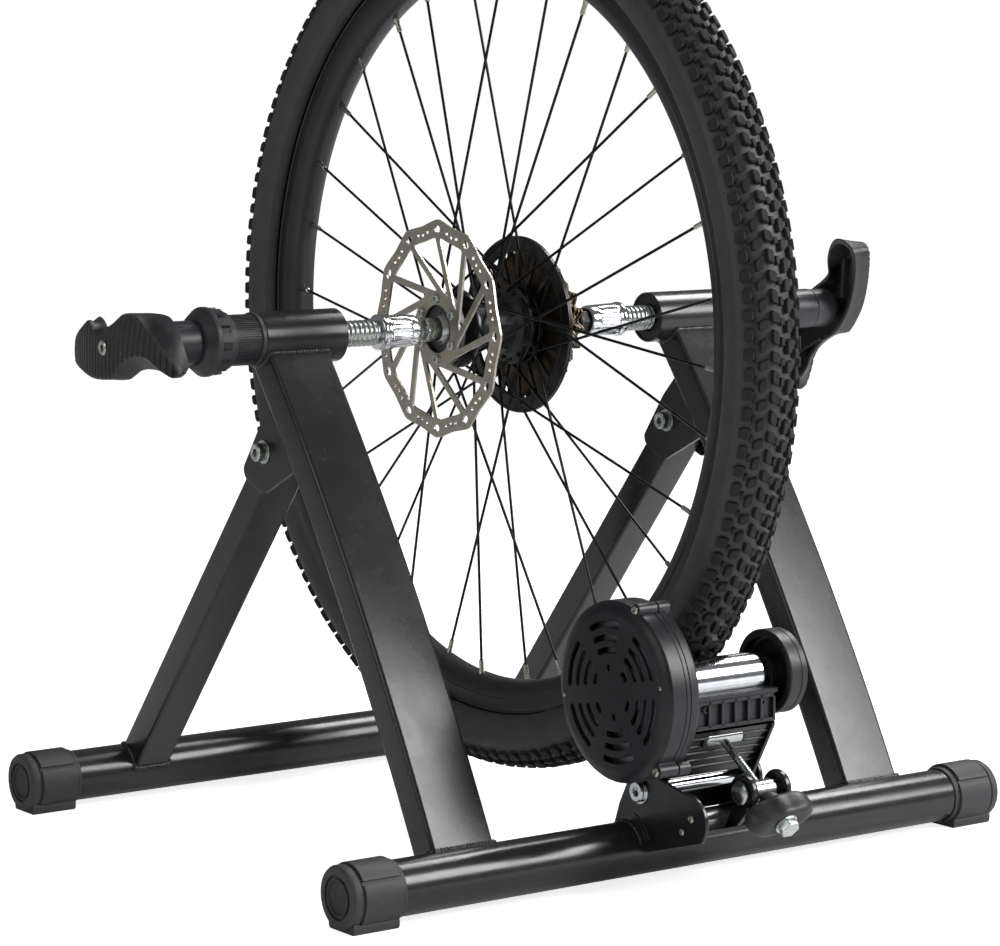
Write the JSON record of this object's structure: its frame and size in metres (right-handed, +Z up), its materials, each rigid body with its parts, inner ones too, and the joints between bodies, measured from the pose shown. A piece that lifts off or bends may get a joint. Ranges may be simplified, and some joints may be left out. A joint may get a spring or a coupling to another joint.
{
  "type": "wheel on turbo trainer",
  "caption": "Bicycle rear wheel with disc rotor and sprockets, held by its axle in a folding A-frame trainer stand, tyre against the roller of a magnetic resistance unit.",
  "frame": {"origin": "middle of the part's footprint on the floor; the wheel's middle plane is at x = -0.0045 m and its axle at y = 0.0096 m", "axes": "+X to the bicycle's right along the axle, +Y forward along the bicycle, +Z up"},
  "size_m": [0.6742, 0.6752, 0.696],
  "materials": {
    "tyre_rubber": "moulded matt tyre rubber with dust in the tread",
    "rim_alloy": "black anodised aluminium",
    "hub_alloy": "black anodised hub with dark stainless spokes",
    "disc_steel": "ground stainless steel",
    "guard_plastic": "smoked plastic",
    "sprocket_steel": "oiled dark steel",
    "valve_brass": "nickelled brass with a rubber sleeve",
    "axle_steel": "plain turned steel",
    "nut_steel": "black oxide steel",
    "black_paint": "black powder coat, satin",
    "leg_paint": "dark warm grey powder coat with a soft sheen",
    "black_plastic": "moulded black plastic",
    "unit_plastic": "moulded black plastic, fine texture",
    "foot_rubber": "moulded black rubber",
    "magnet_steel": "plain steel",
    "flywheel_iron": "black coated cast iron, turned rim",
    "chrome": "bright chrome plate",
    "zinc": "bright zinc plate"
  },
  "bodies": {
    "stand": {"rear_base_tube": "black_paint", "saddle_bracket": "black_paint", "tilt_pin": "chrome", "axle": "axle_steel", "rear_leg_left": "leg_paint", "rear_leg_right": "leg_paint", "fold_bracket_left": "black_paint", "fold_bracket_right": "black_paint", "pivot_bolt_left": "zinc", "pivot_bolt_right": "zinc", "pivot_nut_left": "zinc", "pivot_nut_right": "zinc", "clamp_tube_left": "black_paint", "clamp_tube_right": "black_paint", "ribbed_collar_left": "black_plastic", "ribbed_collar_right": "black_plastic", "axle_nut_left": "nut_steel", "axle_nut_right": "nut_steel"},
    "front_frame": {"front_base_tube": "black_paint", "front_leg_left": "black_paint", "front_leg_right": "black_paint"},
    "wheel": {"tyre": "tyre_rubber", "rim": "rim_alloy", "hub_and_spokes": "hub_alloy", "brake_disc": "disc_steel", "spoke_guard": "guard_plastic", "valve_stem": "valve_brass"},
    "sprockets": {"cassette": "sprocket_steel"},
    "unit": {"unit_bracket": "black_paint", "ribbed_panel": "unit_plastic", "casing_cover": "unit_plastic", "casing_back": "unit_plastic", "magnet_ring": "magnet_steel"},
    "roller_set": {"roller": "chrome", "roller_shaft": "axle_steel", "flywheel": "flywheel_iron", "drag_disc": "magnet_steel"},
    "cross_pin": {"cross_pin": "chrome"},
    "tension_screw": {"tension_screw": "zinc", "star_knob": "black_plastic"},
    "swivel_barrel": {"swivel_barrel": "chrome"},
    "foot_rear_left": {"foot_cap_rear_left": "foot_rubber"},
    "foot_rear_right": {"foot_cap_rear_right": "foot_rubber"},
    "foot_front_left": {"foot_cap_front_left": "foot_rubber"},
    "foot_front_right": {"foot_cap_front_right": "foot_rubber"},
    "cup_left": {"axle_cup_left": "chrome"},
    "knob_left": {"clamp_screw_left": "zinc", "spindle_sleeve_left": "black_plastic", "wing_knob_left": "black_plastic", "knob_screw_left": "zinc"},
    "ring_left": {"lock_ring_left": "black_plastic"},
    "cup_right": {"axle_cup_right": "chrome"},
    "knob_right": {"clamp_screw_right": "zinc", "spindle_sleeve_right": "black_plastic", "wing_knob_right": "black_plastic", "knob_screw_right": "zinc"},
    "ring_right": {"lock_ring_right": "black_plastic"}
  },
  "joints": [
    {"name": "front_fold", "type": "hinge", "parent": "stand", "child": "front_frame", "pos_m": [-0.0045, 0.00964, 0.288], "axis": [1, 0, 0], "range_deg": [-68, 0]},
    {"name": "foot_turn_rear_left", "type": "hinge", "parent": "stand", "child": "foot_rear_left", "pos_m": [-0.2675, -0.21036, 0.023], "axis": [1, 0, 0], "range_deg": [-90, 90]},
    {"name": "foot_turn_rear_right", "type": "hinge", "parent": "stand", "child": "foot_rear_right", "pos_m": [0.2585, -0.21036, 0.023], "axis": [1, 0, 0], "range_deg": [-90, 90]},
    {"name": "foot_turn_front_left", "type": "hinge", "parent": "front_frame", "child": "foot_front_left", "pos_m": [-0.2675, 0.22964, 0.023], "axis": [1, 0, 0], "range_deg": [-90, 90]},
    {"name": "foot_turn_front_right", "type": "hinge", "parent": "front_frame", "child": "foot_front_right", "pos_m": [0.2585, 0.22964, 0.023], "axis": [1, 0, 0], "range_deg": [-90, 90]},
    {"name": "cup_slide_left", "type": "slide", "parent": "stand", "child": "cup_left", "axis": [-1, 0, 0], "range_m": [0, 0.02]},
    {"name": "knob_turn_left", "type": "hinge", "parent": "cup_left", "child": "knob_left", "pos_m": [-0.2045, 0.00964, 0.368], "axis": [-1, 0, 0], "range_deg": [0, 1800]},
    {"name": "ring_turn_left", "type": "hinge", "parent": "stand", "child": "ring_left", "pos_m": [-0.2495, 0.00964, 0.368], "axis": [-1, 0, 0], "range_deg": [0, 90]},
    {"name": "cup_slide_right", "type": "slide", "parent": "stand", "child": "cup_right", "axis": [1, 0, 0], "range_m": [0, 0.02]},
    {"name": "knob_turn_right", "type": "hinge", "parent": "cup_right", "child": "knob_right", "pos_m": [0.1955, 0.00964, 0.368], "axis": [1, 0, 0], "range_deg": [0, 1800]},
    {"name": "ring_turn_right", "type": "hinge", "parent": "stand", "child": "ring_right", "pos_m": [0.2405, 0.00964, 0.368], "axis": [1, 0, 0], "range_deg": [0, 90]},
    {"name": "wheel_spin", "type": "hinge", "parent": "stand", "child": "wheel", "pos_m": [-0.0045, 0.00964, 0.368], "axis": [1, 0, 0], "continuous": true},
    {"name": "freewheel_spin", "type": "hinge", "parent": "wheel", "child": "sprockets", "pos_m": [0.0355, 0.00964, 0.368], "axis": [1, 0, 0], "continuous": true},
    {"name": "unit_tilt", "type": "hinge", "parent": "stand", "child": "unit", "pos_m": [-0.0045, -0.22636, 0.066], "axis": [1, 0, 0], "range_deg": [0, 12]},
    {"name": "roller_spin", "type": "hinge", "parent": "unit", "child": "roller_set", "pos_m": [-0.0045, -0.24921, 0.1425], "axis": [1, 0, 0], "continuous": true},
    {"name": "cross_pin_swing", "type": "hinge", "parent": "unit", "child": "cross_pin", "pos_m": [-0.0045, -0.25336, 0.103], "axis": [1, 0, 0], "range_deg": [-15, 0]},
    {"name": "tension_turn", "type": "hinge", "parent": "cross_pin", "child": "tension_screw", "pos_m": [-0.0045, -0.25336, 0.103], "axis": [0, -0.8201, -0.5722], "range_deg": [0, 1700]},
    {"name": "barrel_swing", "type": "hinge", "parent": "stand", "child": "swivel_barrel", "pos_m": [-0.0045, -0.29636, 0.073], "axis": [1, 0, 0], "range_deg": [-3, 1]}
  ],
  "couplings": [
    {"joint": "cup_slide_left", "follows": "knob_turn_left", "m_per_rad": 0.00063662},
    {"joint": "cup_slide_right", "follows": "knob_turn_right", "m_per_rad": 0.00063662},
    {"joint": "unit_tilt", "follows": "tension_turn", "ratio": 0.0070588},
    {"joint": "cross_pin_swing", "follows": "tension_turn", "ratio": -0.0078423},
    {"joint": "barrel_swing", "follows": "tension_turn", "ratio": -0.00078353},
    {"joint": "roller_spin", "follows": "wheel_spin", "ratio": -21.867}
  ]
}
